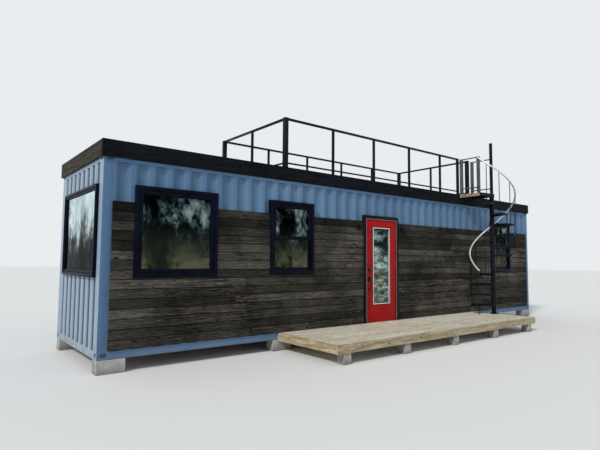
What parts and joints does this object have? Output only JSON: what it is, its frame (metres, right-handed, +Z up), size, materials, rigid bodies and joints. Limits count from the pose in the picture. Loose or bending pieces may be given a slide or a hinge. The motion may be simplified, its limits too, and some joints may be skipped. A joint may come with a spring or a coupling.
{
  "type": "shipping container cabin",
  "caption": "Cabin made from a steel shipping container: board clad front, red glazed door that opens, timber porch, railed roof deck and a spiral stair up to it.",
  "frame": {"origin": "on the ground, in the middle of the footprint's box (porch and roof edge included)", "axes": "+X along the container, to the right seen from the front; +Y from the porch to the back; +Z up"},
  "size_m": [12.28, 4.026, 4.58],
  "materials": {
    "container_paint": "satin paint on folded steel, sun faded",
    "stained_boards": "dark oil stain on rough sawn boards",
    "black_steel": "satin black paint",
    "window_black": "satin black paint",
    "window_glass": "clear double glazing",
    "door_red": "semi gloss paint",
    "door_white": "white moulded frame",
    "porch_pine": "bare pine, weathered",
    "concrete": "cast grey concrete",
    "sill_metal": "mill finish",
    "handrail_silver": "satin silver paint",
    "inside_floor": "sealed plywood"
  },
  "bodies": {
    "cabin": {"foundation_blocks": "concrete", "corner_posts": "container_paint", "base_frame": "container_paint", "top_rails": "container_paint", "floor": "inside_floor", "roof": "container_paint", "roof_deck": "porch_pine", "parapet_front": "stained_boards", "parapet_back": "stained_boards", "parapet_ends": "stained_boards", "front_wall_left": "container_paint", "front_wall_right": "container_paint", "front_wall_over_door": "container_paint", "back_wall": "container_paint", "left_end_wall": "container_paint", "right_end_wall": "container_paint", "cladding_left": "stained_boards", "cladding_right": "stained_boards", "window_surrounds": "window_black", "picture_window_frames": "window_black", "sliding_window_frames": "window_black", "window_glass": "window_glass", "door_frame": "black_steel", "door_sill": "sill_metal", "frame_hinge_halves": "sill_metal", "wall_lights": "black_steel", "porch_boards": "porch_pine", "porch_frame": "porch_pine", "porch_blocks": "concrete", "railing_posts": "black_steel", "railing_front": "black_steel", "railing_back": "black_steel", "railing_left": "black_steel", "railing_right": "black_steel", "stair_pole": "black_steel", "stair_treads": "black_steel", "stair_balusters": "black_steel", "stair_handrail": "handrail_silver", "landing": "black_steel", "landing_guards": "black_steel"},
    "door": {"door_leaf": "door_red", "door_hinge_halves": "sill_metal", "door_glass_frame": "door_white", "door_glass": "window_glass", "door_handle": "black_steel"}
  },
  "joints": [
    {"name": "front_door", "type": "hinge", "parent": "cabin", "child": "door", "pos_m": [0.0927, -0.4457, 1.396], "axis": [0, 0, -1], "range_deg": [0, 90]}
  ]
}
